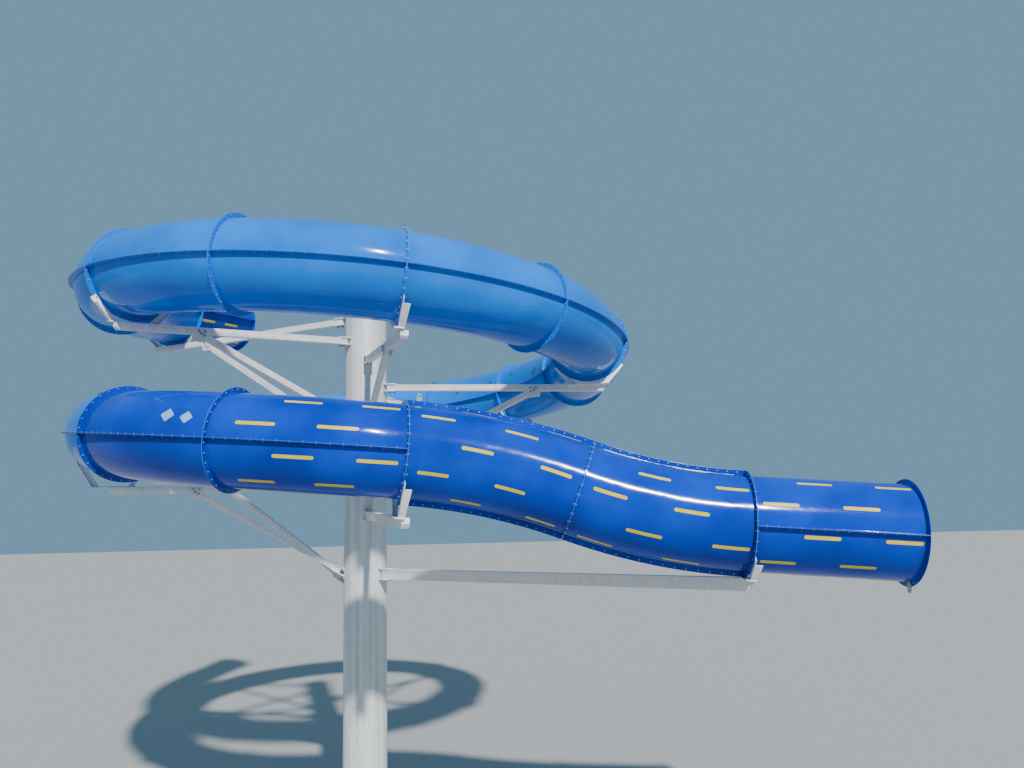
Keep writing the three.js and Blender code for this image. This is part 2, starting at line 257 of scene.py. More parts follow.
# %% [markdown]
# Hot-dip zinc shows its crystals, the spangle, as patches of slightly different grey, and rain leaves
# runs on it. Voronoi cells make the crystals. The column has the same coat, but its runs are darker and
# go from top to bottom, so its noise is stretched along Z.


# %% Zinc coats
def zinc(name, crystals, stain, stained, metal, stretch):
    """Zinc in two greys, with runs of a third colour."""
    finish, tree, shader = new_finish(name)
    coordinates = add_node(tree, "ShaderNodeTexCoord")
    cells = add_node(
        tree, "ShaderNodeTexVoronoi", Vector=coordinates.outputs["Object"], Scale=38.0, Randomness=1.0
    )
    runs = stretched_noise(tree, 5.0, stretch, detail=5.0, roughness=0.6)
    spangle = ramp(tree, cells.outputs["Color"], (0.2, crystals[0]), (0.8, crystals[1]))
    weathered = mix_colours(
        tree, spread(tree, runs, (0.42, 0.72), (0, stained)), spangle, (*stain, 1)
    )
    tree.links.new(weathered, shader.inputs["Base Color"])
    tree.links.new(spread(tree, runs, (0.3, 0.7), (0.38, 0.62)), shader.inputs["Roughness"])
    shader.inputs["Metallic"].default_value = metal
    grain = stretched_noise(tree, 30.0, detail=3.0)
    add_bump(tree, shader, grain, strength=0.12, distance=0.001)
    return finish


STEEL = zinc(
    "galvanised steel", crystals=((0.66, 0.67, 0.67), (0.80, 0.80, 0.79)), stain=(0.88, 0.85, 0.80),
    stained=0.7, metal=0.15, stretch=(1, 1, 0.3),
)
COLUMN = zinc(
    "column steel", crystals=((0.62, 0.68, 0.70), (0.76, 0.79, 0.79)), stain=(0.47, 0.46, 0.43),
    stained=0.8, metal=0.15, stretch=(2, 2, 0.05),
)
# Bolt steel is a dark zinc. On the two lifting lugs its dark grey is painted shade.
BOLT_STEEL_AND_PAINTED_LUG_SHADE = zinc(
    "bolt steel and painted lug shade", crystals=((0.30, 0.31, 0.33), (0.42, 0.42, 0.43)), stain=(0.55, 0.54, 0.52),
    stained=0.4, metal=0.6, stretch=(1, 1, 1),
)
# The plugs' pale coat is painted sunlight on the beams' ends, which makes them brighter than the beams'
# zinc.
PALE_CAP_PAINTED_SUNLIGHT = zinc(
    "end cap coat, painted sunlight", crystals=((0.90, 0.90, 0.89), (0.95, 0.95, 0.94)), stain=(0.86, 0.83, 0.78),
    stained=0.4, metal=0.0, stretch=(1, 1, 1),
)

# %% [markdown]
# Cast concrete has a cement skin with a cloudy tone, fine grit and the faint steps of the boards it was
# cast against. The stripes are clear strips moulded into the laminate that let yellow daylight into the
# tube. Seen from outside they are a smooth, flat yellow. The joints are closed with blue sealant.


# %% Concrete, stripes, patches and sealant
def concrete():
    finish, tree, shader = new_finish("cast concrete")
    cloud = stretched_noise(tree, 3.0, detail=6.0)
    grit = stretched_noise(tree, 60.0, detail=4.0)
    boards = stretched_noise(tree, 1.0, (0.3, 0.3, 14), detail=2.0)
    cement = ramp(tree, cloud, (0.3, (0.36, 0.34, 0.30)), (0.7, (0.56, 0.54, 0.49)))
    sand = ramp(tree, grit, (0.3, (0.25, 0.24, 0.22)), (0.7, (0.7, 0.68, 0.63)))
    tree.links.new(mix_colours(tree, 0.25, cement, sand), shader.inputs["Base Color"])
    shader.inputs["Roughness"].default_value = 0.9
    boarded = add_bump(tree, shader, boards, strength=0.5, distance=0.004)
    add_bump(tree, shader, grit, strength=0.6, distance=0.002, under=boarded)
    return finish


def plain_moulding(name, dark, light, roughness, coat):
    finish, tree, shader = new_finish(name)
    cloud = stretched_noise(tree, 6.0, detail=4.0)
    gloss = spread(tree, cloud, (0.3, 0.7), (roughness, roughness + 0.12))
    tree.links.new(ramp(tree, cloud, (0.3, dark), (0.7, light)), shader.inputs["Base Color"])
    tree.links.new(gloss, shader.inputs["Roughness"])
    shader.inputs["Coat Weight"].default_value = coat
    shader.inputs["Specular IOR Level"].default_value = 0.16
    grain = stretched_noise(tree, 40.0)
    add_bump(tree, shader, grain, strength=0.08, distance=0.001)
    return finish


CONCRETE = concrete()
STRIPE = plain_moulding(
    "stripe resin", dark=(0.64, 0.48, 0.004), light=(0.80, 0.62, 0.008), roughness=0.22, coat=0.03
)
PATCH = plain_moulding(
    "patch resin", dark=(0.13, 0.28, 0.58), light=(0.26, 0.42, 0.66), roughness=0.3, coat=0.2
)
DARK_PATCH = plain_moulding(
    "dark patch resin", dark=(0.01, 0.10, 0.22), light=(0.02, 0.16, 0.32), roughness=0.35, coat=0.2
)
SEALANT = plain_moulding(
    "joint sealant", dark=(0.03, 0.14, 0.55), light=(0.08, 0.22, 0.66), roughness=0.5, coat=0.0
)
print("finishes:", len(bpy.data.materials))

# %% [markdown]
# ## Modelling helpers
# Edit mode works on what is selected. Each piece is shaped like this: a primitive is added, points are
# picked by their place, and an operator moves or extrudes them. In a script there is no mouse, so a
# point is picked by a test on its place, seen from a seat.


# %% Pick, turn and finish
SMALL = 1e-4
SMOOTH_ANGLE = 35


def pick(test, from_seat=None):
    """Selects the points whose place, seen from a seat, passes the test."""
    bpy.ops.mesh.select_mode(type="VERT")
    bpy.ops.mesh.select_all(action="DESELECT")
    mesh = bpy.context.object.data
    form = bmesh.from_edit_mesh(mesh)
    to_seat = from_seat.inverted() if from_seat else Matrix()
    for point in form.verts:
        point.select = test(to_seat @ point.co)
    form.select_flush(True)
    bmesh.update_edit_mesh(mesh)


def pick_all():
    bpy.ops.mesh.select_all(action="SELECT")


def turn_picked(angle, axis, centre):
    # With no window this operator turns the other way, so the angle is negated.
    bpy.ops.transform.rotate(
        value=-math.radians(angle), orient_axis=axis, orient_type="GLOBAL", center_override=centre
    )


def start_piece(name, add, **settings):
    """Adds a primitive, puts its place in its mesh, and opens it in edit mode."""
    bpy.ops.object.select_all(action="DESELECT")
    add(**settings)
    piece = bpy.context.object
    piece.name = piece.data.name = name
    bpy.ops.object.transform_apply(location=True, rotation=True, scale=True)
    bpy.ops.object.mode_set(mode="EDIT")
    return piece


def start_rod(name, sides, radius, depth, middle=(0, 0, 0)):
    """Starts a piece with a cylinder along Z."""
    return start_piece(
        name, bpy.ops.mesh.primitive_cylinder_add,
        vertices=sides, radius=radius, depth=depth, location=middle,
    )


def close_piece(piece, smooth_angle=SMOOTH_ANGLE):
    """Leaves edit mode, and smooths every edge that bends less than the angle."""
    bpy.ops.object.mode_set(mode="OBJECT")
    bpy.ops.object.shade_smooth_by_angle(angle=math.radians(smooth_angle))
    return piece


def apply_modifier(piece, kind, **settings):
    bpy.ops.object.select_all(action="DESELECT")
    piece.select_set(True)
    bpy.context.view_layer.objects.active = piece
    modifier = piece.modifiers.new(kind.lower(), kind)
    for key, value in settings.items():
        setattr(modifier, key, value)
    bpy.ops.object.modifier_apply(modifier=modifier.name)
    bpy.ops.object.shade_smooth_by_angle(angle=math.radians(SMOOTH_ANGLE))


def round_edges(piece, width, segments=2, angle=30):
    """Rounds every edge that bends more than the angle."""
    limit = math.radians(angle)
    apply_modifier(
        piece, "BEVEL", width=width, segments=segments, limit_method="ANGLE", angle_limit=limit
    )


def hand_over(piece, finish, slot, *nodes):
    """Gives a finished piece its material and its body, and hides the nodes it stands for. The slot is
    not used.
    """
    piece.data.materials.clear()
    piece.data.materials.append(finish)
    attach(piece, "root")
    if nodes:
        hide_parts(*nodes)
    return piece


def copy_piece(piece, name, place):
    """A copy with a mesh of its own, moved by a matrix."""
    twin = piece.copy()
    twin.data = piece.data.copy()
    twin.name = twin.data.name = name
    twin.data.transform(place)
    bpy.context.collection.objects.link(twin)
    return twin


def join_pieces(name, pieces):
    bpy.ops.object.select_all(action="DESELECT")
    for piece in pieces:
        piece.select_set(True)
    bpy.context.view_layer.objects.active = pieces[0]
    bpy.ops.object.join()
    pieces[0].name = pieces[0].data.name = name
    return pieces[0]


def copies(model, name, places):
    return join_pieces(name, [copy_piece(model, name, place) for place in places])


def clear_away(*pieces):
    for piece in pieces:
        bpy.data.objects.remove(piece)


def drill(pieces, rods):
    """Takes the rods away from every piece, and clears them away."""
    for piece in pieces:
        apply_modifier(piece, "BOOLEAN", object=rods, operation="DIFFERENCE", solver="EXACT")
    clear_away(rods)


# %% [markdown]
# ## The tube's half shells
# Each section is two mouldings with a lip along both seams and a flange at both ends. The half outline
# is half a circle with a lip at each end of it. It is extruded from station to station, turned and
# moved as the run goes, the way a sweep is made by hand. The arc alone is extruded outwards for the end
# flanges. Solidify then gives the sheet its wall, and Bevel softens the moulded edges.

# %% Sweep one half shell
ARC_STEPS = 28
ARC_MARGIN = 0.005
CORNER_MERGE = 0.004
MOULDED_EDGE = 0.0035


def is_arc(p):
    return abs(p.z) < SMALL and math.hypot(p.x, p.y) < TUBE_RADIUS + ARC_MARGIN


def grow_outwards(centre):
    """Extrudes what is picked from the tube's wall to the flange's edge."""
    bpy.ops.mesh.extrude_region_move()
    grow = FLANGE_RADIUS / TUBE_RADIUS
    bpy.ops.transform.resize(value=(grow, grow, grow), center_override=centre)


def add_flange(place, centre):
    pick(is_arc, place)
    grow_outwards(centre)
    pick_all()
    bpy.ops.mesh.remove_doubles(threshold=CORNER_MERGE)


def moved_in(stations):
    """The stations of the sheet: the two end ones stand a lip's thickness inside the joint."""
    inner = list(stations)
    for end, sign in ((0, 1), (-1, -1)):
        centre, heading, slope = stations[end]
        inner[end] = (centre + direction(heading, slope) * LIP * sign, heading, slope)
    return inner


def step_on(before, after):
    """Extrudes what is picked from one station to the next one."""
    bpy.ops.mesh.extrude_region_move()
    centre = before[0]
    turn_picked(-before[1], "Z", centre)
    turn_picked(after[2] - before[2], "Y", centre)
    turn_picked(after[1], "Z", centre)
    bpy.ops.transform.translate(value=after[0] - before[0])


def half_shell(name, stations, turn):
    """The half of a section that is turned about the run: 0 is the upper one."""
    stations = moved_in(stations)
    first = seat(stations[0]) @ spin(turn)
    piece = start_piece(
        name, bpy.ops.mesh.primitive_circle_add, vertices=2 * ARC_STEPS, radius=TUBE_RADIUS,
        location=first.translation, rotation=first.to_euler(),
    )
    pick(lambda p: p.y < -SMALL, first)
    bpy.ops.mesh.delete(type="VERT")
    pick(lambda p: p.y < SMALL, first)
    grow_outwards(stations[0][0])
    pick(lambda p: p.y < SMALL, first)
    bpy.ops.transform.translate(value=first.to_3x3() @ Vector((0, LIP, 0)))
    add_flange(first, stations[0][0])
    pick(lambda p: abs(p.z) < SMALL and (is_arc(p) or p.y < 2 * LIP), first)
    for before, after in zip(stations, stations[1:]):
        step_on(before, after)
    last = seat(stations[-1]) @ spin(turn)
    add_flange(last, stations[-1][0])
    pick_all()
    bpy.ops.mesh.normals_make_consistent(inside=False)
    close_piece(piece)
    middle = sum((v.co for v in piece.data.vertices), Vector()) / len(piece.data.vertices)
    outward = sum((face.center - middle).dot(face.normal) * face.area for face in piece.data.polygons)
    if outward < 0:
        piece.data.flip_normals()
    apply_modifier(piece, "SOLIDIFY", thickness=LAMINATE, offset=-1, use_even_offset=True)
    round_edges(piece, MOULDED_EDGE, angle=50)
    return piece


# %% Make every section
HALVES = {"upper": 0, "lower": 180, "right": -90, "left": 90}
FIRST_ROYAL = 15
models = {}


def coil_number(section):
    """The number of a coil section, counted from the top, or 0 for a section outside the coil."""
    return int(section[-2:]) if section.startswith("coil_tube") else 0


def turned_down(model, name, steps_down):
    """A copy of a coil section's piece, turned and lowered to another section of the coil."""
    lower = Matrix.Translation((0, 0, -DROP_PER_TURN * SECTION_SWEEP / 360 * steps_down))
    turn = spin(SECTION_SWEEP * steps_down)
    return copy_piece(model, name, lower @ turn)


def section_half(section, half):
    """The first coil section is modelled, and the others are turned and lowered copies of it."""
    name = f"{section}_{half}_shell"
    number = coil_number(section)
    if number > 1:
        return turned_down(models[f"coil_tube_01_{half}_shell"], name, number - 1)
    models[name] = half_shell(name, STRETCHES[section], HALVES[half])
    return models[name]


def is_royal(section):
    return not 0 < coil_number(section) < FIRST_ROYAL


for section in STRETCHES:
    for half in ("right", "left") if section in ("bend_tube", "drop_tube") else ("upper", "lower"):
        shell = section_half(section, half)
        look, slot = (ROYAL, "royal_gelcoat") if is_royal(section) else (AZURE, "azure_gelcoat")
        hand_over(shell, look, slot, f"{section}_{half}")
faces = len(models["coil_tube_01_upper_shell"].data.polygons)
print("half shells:", 2 * len(STRETCHES), "faces on one:", faces)

# %% [markdown]
# ## Open ends
# The two ends of the run are bare flanges with their bolt holes showing. A hole is a cut, so a ring of
# rods is made and taken away from the shells with a Boolean. The rods stand where the bolts of every
# other joint stand: 32 to a ring, half a step off the seams.

# %% Bolt circle and holes
BOLT_CIRCLE = 0.7425
BOLTS_PER_RING = 32
HOLE_RADIUS, ROD_LENGTH = 0.008, 0.080


def bolt_angles():
    step = 360 / BOLTS_PER_RING
    return [step * (i + 0.5) for i in range(BOLTS_PER_RING)]


def on_circle(angle, radius=BOLT_CIRCLE):
    a = math.radians(angle)
    return Matrix.Translation((radius * math.cos(a), radius * math.sin(a), 0))


def cut_bolt_holes(section, station):
    rod = close_piece(start_rod("rod", 12, HOLE_RADIUS, ROD_LENGTH))
    rods = copies(rod, "hole_rods", [seat(station) @ on_circle(angle) for angle in bolt_angles()])
    drill([models[f"{section}_{half}_shell"] for half in ("upper", "lower")], rods)
    clear_away(rod)


for section, end in (("entry_tube", 0), ("exit_tube", -1)):
    cut_bolt_holes(section, STRETCHES[section][end])
print("holes at each open end:", BOLTS_PER_RING)

# %% [markdown]
# ## Joint bolts
# A bolt is a hexagon head and a washer on one side of the two flanges, and a washer, a nut and the end
# of the thread on the other. It is repeated well over a thousand times, so it keeps to a few dozen
# faces. One ring of 32 is joined from copies, and then the ring is copied to every joint.

# %% One bolt through a joint
WASHER_RADIUS, HEAD_RADIUS, THREAD_RADIUS = 0.0120, 0.0092, 0.0050
WASHER_HEIGHT, HEAD_HEIGHT = 0.0020, 0.0065
# Shares of the head's own size: the nut's width and height, and the thread's end past the washer.
NUT_WIDTH, NUT_HEIGHT, THREAD_END = 1.04, 1.2, 2.1


def add_disc(sides, radius, low, high):
    """A short prism along Z between two heights, added to the mesh in edit mode."""
    bpy.ops.mesh.primitive_cylinder_add(
        vertices=sides, radius=radius, depth=high - low, location=(0, 0, (low + high) / 2)
    )


def bolt_model(name, head_face, nut_face, size=1.0):
    """A bolt along Z. The faces are the heights of the clamped surfaces above and below the joint."""
    washer, head, thread = WASHER_RADIUS * size, HEAD_RADIUS * size, THREAD_RADIUS * size
    thin, tall = WASHER_HEIGHT * size, HEAD_HEIGHT * size
    under_nut = -nut_face - thin
    bolt = start_rod(name, 10, washer, thin, (0, 0, head_face + thin / 2))
    add_disc(6, head, head_face + thin, head_face + thin + tall)
    add_disc(10, washer, under_nut, -nut_face)
    add_disc(6, head * NUT_WIDTH, under_nut - tall * NUT_HEIGHT, under_nut)
    add_disc(6, thread, under_nut - tall * THREAD_END, under_nut - tall * NUT_HEIGHT)
    return close_piece(bolt)


def ring_of(bolt, name, angles):
    return copies(bolt, name, [on_circle(angle) for angle in angles])


# %% [markdown]
# Where an arm stands, some bolts also hold its two legs, so they are longer. The numbers are the joints
# that have an arm, each with the gap between the flange and the arm's seat. A leg's foot and head are
# places on the flange: metres to the side of the tube's axis, and above it.

# %% Bolts that also go through a leg
SEAT_DROPS = {0: 0.0, 2: 0.040, 4: 0.080, 6: 0.040, 8: 0.0, 12: 0.250, 13: 0.250, 16: 0.170, 18: 0.0}
LEG_FOOT, LEG_HEAD = Vector((0.300, -0.785)), Vector((0.627, -0.4555))
LEG_THICKNESS, LEG_HALF_WIDTH = 0.0123, 0.040


def on_leg(angle, drop):
    """True where the bolt at an angle stands on one of the two flat legs of an arm."""
    a = math.radians(angle)
    foot = LEG_FOOT - Vector((0, drop))
    way = (LEG_HEAD - foot).normalized()
    spot = Vector((abs(math.cos(a)), math.sin(a))) * BOLT_CIRCLE - foot
    return spot.dot(way) > 0 and abs(spot.cross(way)) < LEG_HALF_WIDTH


# %% Bolts round every joint
joints = [STRETCHES["entry_tube"][-1]]
joints += [STRETCHES[f"coil_tube_{number:02d}"][-1] for number in range(1, COIL_SECTIONS + 1)]
joints += [STRETCHES["bend_tube"][-1], STRETCHES["drop_tube"][-1]]

short_bolt = bolt_model("joint_bolt", LIP, LIP)
leg_bolt = bolt_model("leg_bolt", LIP, LIP + LEG_THICKNESS)
plain_ring = ring_of(short_bolt, "plain_ring", bolt_angles())


def held_ring(name, drop):
    longer = [angle for angle in bolt_angles() if on_leg(angle, drop)]
    shorter = [angle for angle in bolt_angles() if angle not in longer]
    return join_pieces(name, [ring_of(short_bolt, name, shorter), ring_of(leg_bolt, name, longer)])


for number, joint in enumerate(joints):
    name = f"ring_bolts_{number:02d}"
    if number in SEAT_DROPS:
        ring = held_ring(name, SEAT_DROPS[number])
        ring.data.transform(seat(joint))
    else:
        ring = copy_piece(plain_ring, name, seat(joint))
    hand_over(ring, BOLT_STEEL_AND_PAINTED_LUG_SHADE, "galvanised_steel")
print("ring bolts:", len(joints) * BOLTS_PER_RING)

# %% [markdown]
# The seams along a section are bolted the same way, at the same spacing. Each bolt stands square to the
# lips, so it is turned to point along the seam's normal. Places along a section are found between its
# stations, in metres from its start.

# %% Places along a section
SEAM_BOLT_SPACING, SEAM_END = 0.152, 0.050


def section_length(section):
    places = [station[0] for station in STRETCHES[section]]
    return sum((b - a).length for a, b in zip(places, places[1:]))


def station_at(section, distance):
    """The station at a distance from the section's start, on the line between its two neighbours."""
    stations = STRETCHES[section]
    share = distance / section_length(section) * (len(stations) - 1)
    i = min(max(int(share), 0), len(stations) - 2)
    (c0, h0, s0), (c1, h1, s1) = stations[i], stations[i + 1]
    t = share - i
    return c0.lerp(c1, t), h0 + (h1 - h0) * t, s0 + (s1 - s0) * t


# %% Bolts along the seams
SEAM_TURN = {"bend_tube": 90, "drop_tube": 90}


def seam_bolts(section):
    bolted = section_length(section) - 2 * SEAM_END
    count = int(bolted / SEAM_BOLT_SPACING)
    gap = bolted / count
    along_seam = spin(-90, "X")
    bolts = []
    for i in range(count):
        place = seat(station_at(section, SEAM_END + gap * (i + 0.5)))
        for side in (0, 180):
            turned = spin(SEAM_TURN.get(section, 0) + side)
            flip = spin(side, "X")
            across = Matrix.Translation((BOLT_CIRCLE, 0, 0))
            bolts.append(copy_piece(short_bolt, section, place @ turned @ across @ flip @ along_seam))
    return join_pieces(f"{section}_seam_bolts", bolts)


coil_seam = seam_bolts("coil_tube_01")
hand_over(coil_seam, BOLT_STEEL_AND_PAINTED_LUG_SHADE, "galvanised_steel")
for number in range(2, COIL_SECTIONS + 1):
    seam = turned_down(coil_seam, f"coil_tube_{number:02d}_seam_bolts", number - 1)
    hand_over(seam, BOLT_STEEL_AND_PAINTED_LUG_SHADE, "galvanised_steel")
for section in ("entry_tube", "bend_tube", "drop_tube", "exit_tube"):
    hand_over(seam_bolts(section), BOLT_STEEL_AND_PAINTED_LUG_SHADE, "galvanised_steel")
clear_away(short_bolt, leg_bolt, plain_ring)
print("seam bolts are on", len(STRETCHES), "sections")

# %% [markdown]
# ## Beads of sealant
# Water would weep out between the flanges, so each joint is closed with a bead of sealant that shows as
# a thin blue line on the flange's edge. A torus is widened and made a little uneven for the rings, and
# a small outline is swept along the stations for the seams.

# %% Beads
BEAD = 0.0026
BEAD_RADIUS = FLANGE_RADIUS + 0.0002
BEAD_WIDTH, BEAD_WAVES = 1.5, 0.0006
BEAD_SMOOTH_ANGLE = 60


def ring_bead_model():
    bead = start_piece(
        "ring_bead", bpy.ops.mesh.primitive_torus_add,
        major_segments=112, minor_segments=6, major_radius=BEAD_RADIUS, minor_radius=BEAD,
    )
    pick_all()
    bpy.ops.transform.resize(value=(1, 1, BEAD_WIDTH), center_override=(0, 0, 0))
    bpy.ops.transform.vertex_random(offset=BEAD_WAVES, uniform=1.0, normal=0.0, seed=4)
    return close_piece(bead, BEAD_SMOOTH_ANGLE)


def seam_bead(section, side):
    stations = moved_in(STRETCHES[section])
    turned = spin(SEAM_TURN.get(section, 0) + side)
    first = seat(stations[0]) @ turned @ Matrix.Translation((BEAD_RADIUS, 0, 0))
    bead = start_piece(
        f"{section}_bead", bpy.ops.mesh.primitive_circle_add, vertices=6, radius=BEAD, fill_type="NGON",
        location=first.translation, rotation=first.to_euler(),
    )
    for before, after in zip(stations, stations[1:]):
        step_on(before, after)
    pick_all()
    bpy.ops.mesh.normals_make_consistent(inside=False)
    return close_piece(bead, BEAD_SMOOTH_ANGLE)


ring_bead = ring_bead_model()
for number, joint in enumerate(joints):
    hand_over(copy_piece(ring_bead, f"ring_bead_{number:02d}", seat(joint)), SEALANT, "galvanised_steel")
clear_away(ring_bead)
for section in STRETCHES:
    number = coil_number(section)
    if number > 1:
        bead = turned_down(coil_bead, f"{section}_beads", number - 1)
    else:
        bead = join_pieces(f"{section}_beads", [seam_bead(section, 0), seam_bead(section, 180)])
    if number == 1:
        coil_bead = bead
    hand_over(bead, SEALANT, "galvanised_steel")
print("beads:", len(joints) + len(STRETCHES))

# %% [markdown]
# ## Daylight stripes
# The dark blue sections carry yellow stripes, half a metre long and with round ends, that glow inside
# the tube as riders pass. Ten rows run along the tube, two stripes to a row, and each row is half a step
# off its neighbour. One flat stripe is modelled, and each copy is laid on the tube: its length follows
# the run, and its width the curve of the wall.

# %% One flat stripe
STRIPE_LENGTH, STRIPE_WIDTH, STRIPE_CORNER = 0.500, 0.050, 0.024
SLAB_DEPTH, SLAB_PROUD = 0.004, 0.0015


def flat_model(name, length, width, cells, corner):
    """A thin slab with rounded corners, cut in cells so that it can bend with the tube."""
    piece = start_piece(
        name, bpy.ops.mesh.primitive_grid_add, x_subdivisions=cells[0], y_subdivisions=cells[1], size=1
    )
    pick_all()
    bpy.ops.transform.resize(value=(length, width, 1), center_override=(0, 0, 0))
    pick(lambda p: abs(p.x) > length / 2 - SMALL and abs(p.y) > width / 2 - SMALL)
    bpy.ops.mesh.bevel(offset=corner, segments=4, affect="VERTICES")
    pick_all()
    bpy.ops.mesh.extrude_region_move(TRANSFORM_OT_translate={"value": (0, 0, SLAB_DEPTH)})
    pick_all()
    bpy.ops.mesh.normals_make_consistent(inside=False)
    return close_piece(piece)


def lay_on_tube(model, name, section, distance, angle):
    """A copy of a flat model, wrapped on the tube. The angle is counted from the rider's right."""
    laid = copy_piece(model, name, Matrix())
    for point in laid.data.vertices:
        place = seat(station_at(section, distance + point.co.x))
        radius = TUBE_RADIUS + SLAB_PROUD - SLAB_DEPTH + point.co.z
        a = math.radians(angle) + point.co.y / TUBE_RADIUS
        point.co = place @ Vector((radius * math.cos(a), radius * math.sin(a), 0))
    return laid


# %% Lay the stripes
# For each dark blue section: the angle of its highest row on the camera's side, where that row's first
# stripe has its middle, and the step along a row. The last two are shares of the section's length.
ROWS, ROW_PITCH = 10, 36
STRIPES_IN_ROW = 2
FIRST_STRIPES = {
    "entry_tube": (54, 0.42, 0.42),
    "coil_tube_16": (55, 0.45, 0.41),
    "bend_tube": (82, 0.39, 0.455),
    "drop_tube": (79, 0.17, 0.47),
    "exit_tube": (62, 0.39, 0.475),
}


def striped(section):
    angle, share, step = FIRST_STRIPES[section]
    length = section_length(section)
    stripe = flat_model("stripe", STRIPE_LENGTH, STRIPE_WIDTH, (12, 2), STRIPE_CORNER)
    # Every second row starts half a step earlier, or half a step later where there is no room for that.
    starts = (share, share + step / 2 if share < step / 2 else share - step / 2)
    laid = []
    for row in range(ROWS):
        for i in range(STRIPES_IN_ROW):
            middle = (starts[row % 2] + i * step) * length
            laid.append(lay_on_tube(stripe, section, section, middle, angle - row * ROW_PITCH))
    clear_away(stripe)
    return join_pieces(f"{section}_stripes", laid)


for section in FIRST_STRIPES:
    hand_over(striped(section), STRIPE, "royal_gelcoat")
print("stripes:", STRIPES_IN_ROW * ROWS * len(FIRST_STRIPES))

# %% [markdown]
# Two pale patches on the left of the lower run, and a few small dark ones on the back of the coil, are
# repairs: a square of new laminate is laid cornerwise over the old one. Each is a thin slab, laid on the
# tube in the same way as the stripes.

# %% Repair patches
PATCH_CORNER = 0.12
# For each patch: its section, distance, angle and side, and its finish.
REPAIRS = (
    ("coil_tube_15", 1.80, 25, 0.155, PATCH), ("coil_tube_15", 2.10, 23, 0.140, PATCH),
    ("coil_tube_08", 0.80, 164, 0.190, DARK_PATCH), ("coil_tube_08", 2.00, 147, 0.120, DARK_PATCH),
    ("coil_tube_09", 0.35, 155, 0.120, DARK_PATCH), ("coil_tube_09", 1.50, 158, 0.110, DARK_PATCH),
)


def repair_patch(number, section, distance, angle, side, finish):
    model = flat_model("patch", side, side, (6, 6), side * PATCH_CORNER)
    model.data.transform(spin(45))
    patch = lay_on_tube(model, f"repair_patch_{number}", section, distance, angle)
    clear_away(model)
    return hand_over(patch, finish, "royal_gelcoat" if is_royal(section) else "azure_gelcoat")


for number, repair in enumerate(REPAIRS, 1):
    repair_patch(number, *repair)
print("patches:", len(REPAIRS))

# %% [markdown]
# ## Column
# The column is a pipe, rolled and welded in lengths. A cylinder is cut five times where two lengths
# meet, and the middle loop is pushed out a few millimetres to make the weld's bead. The outer loops keep
# the bend of the surface to the bead, so the pipe beside it stays straight in the light. The long seam
# of each length is a thin raised line, turned from its neighbour's as fabricators do.

# %% Pipe with weld beads
COLUMN_RADIUS, COLUMN_SIDES = 0.425, 96
GIRTH_WELDS = (3.10, 7.62)
WELD_HALF_WIDTH, WELD_HEIGHT = 0.009, 0.0035
SEAM_WELD_ANGLES, SEAM_WELD_RADIUS = (130, 215, 160), 0.006
SEAM_WELD_FLATTENING = (0.5, 1.2, 1)


def grow_loop(height, growth):
    pick(lambda p: abs(p.z - height) < SMALL)
    bpy.ops.transform.resize(value=(growth, growth, 1), center_override=(0, 0, height))


def pipe(name, low, high):
    column = start_rod(name, COLUMN_SIDES, COLUMN_RADIUS, high - low, (0, 0, (low + high) / 2))
    for weld in GIRTH_WELDS:
        for loop in (-2, -1, 0, 1, 2):
            pick_all()
            bpy.ops.mesh.bisect(plane_co=(0, 0, weld + loop * WELD_HALF_WIDTH), plane_no=(0, 0, 1))
        grow_loop(weld, 1 + WELD_HEIGHT / COLUMN_RADIUS)
    return close_piece(column)


def seam_weld(low, high, angle):
    middle = (COLUMN_RADIUS, 0, (low + high) / 2)
    bead = start_rod("seam_weld", 8, SEAM_WELD_RADIUS, high - low, middle)
    pick_all()
    bpy.ops.transform.resize(value=SEAM_WELD_FLATTENING, center_override=(COLUMN_RADIUS, 0, 0))
    turn_picked(angle, "Z", (0, 0, 0))
    return close_piece(bead)


low, high = (corner.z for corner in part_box("column"))
ends = (low, *GIRTH_WELDS, high)
welds = [
    seam_weld(a + WELD_HALF_WIDTH, b - WELD_HALF_WIDTH, angle)
    for a, b, angle in zip(ends, ends[1:], SEAM_WELD_ANGLES)
]
column = join_pieces("column_pipe", [pipe("column_pipe", low, high), *welds])
hand_over(column, COLUMN, "column_steel", "column")
print("column height:", round(high - low, 3))

# %% [markdown]
# ## Plates, arms and footing
# The base plate, the footing and the arms have their right form already, but a CAD mesh has loose
# triangles and knife-sharp edges. A copy is merged and its flat faces are made whole. Bevel then rounds
# the edges, so that they catch the light as sawn and coated steel does. The cap is made anew, with a
# sunk field, and the footing gets the holes of the rods that held its formwork.


# %% Softened copies of CAD nodes
STEEL_EDGE = 0.004
MERGE_DISTANCE, FLAT_ANGLE = 0.0002, 1.0


def softened(node, edge, segments=2):
    """A copy of a CAD node with whole faces and rounded edges."""
    bpy.ops.object.select_all(action="DESELECT")
    piece = frame["nodes"][node].copy()
    piece.data = piece.data.copy()
    piece.parent = None
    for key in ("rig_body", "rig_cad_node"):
        del piece[key]
    piece.name = piece.data.name = f"{node}_body"
    bpy.context.collection.objects.link(piece)
    bpy.context.view_layer.objects.active = piece
    piece.select_set(True)
    bpy.ops.object.mode_set(mode="EDIT")
    pick_all()
    bpy.ops.mesh.remove_doubles(threshold=MERGE_DISTANCE)
    pick_all()
    bpy.ops.mesh.dissolve_limited(angle_limit=math.radians(FLAT_ANGLE))
    bpy.ops.object.mode_set(mode="OBJECT")
    round_edges(piece, edge, segments)
    return piece


# %% Cap
CAP_RADIUS, CAP_THICKNESS = 0.450, 0.020
CAP_BORDER, CAP_SINK, CAP_EDGE = 0.060, 0.003, 0.003

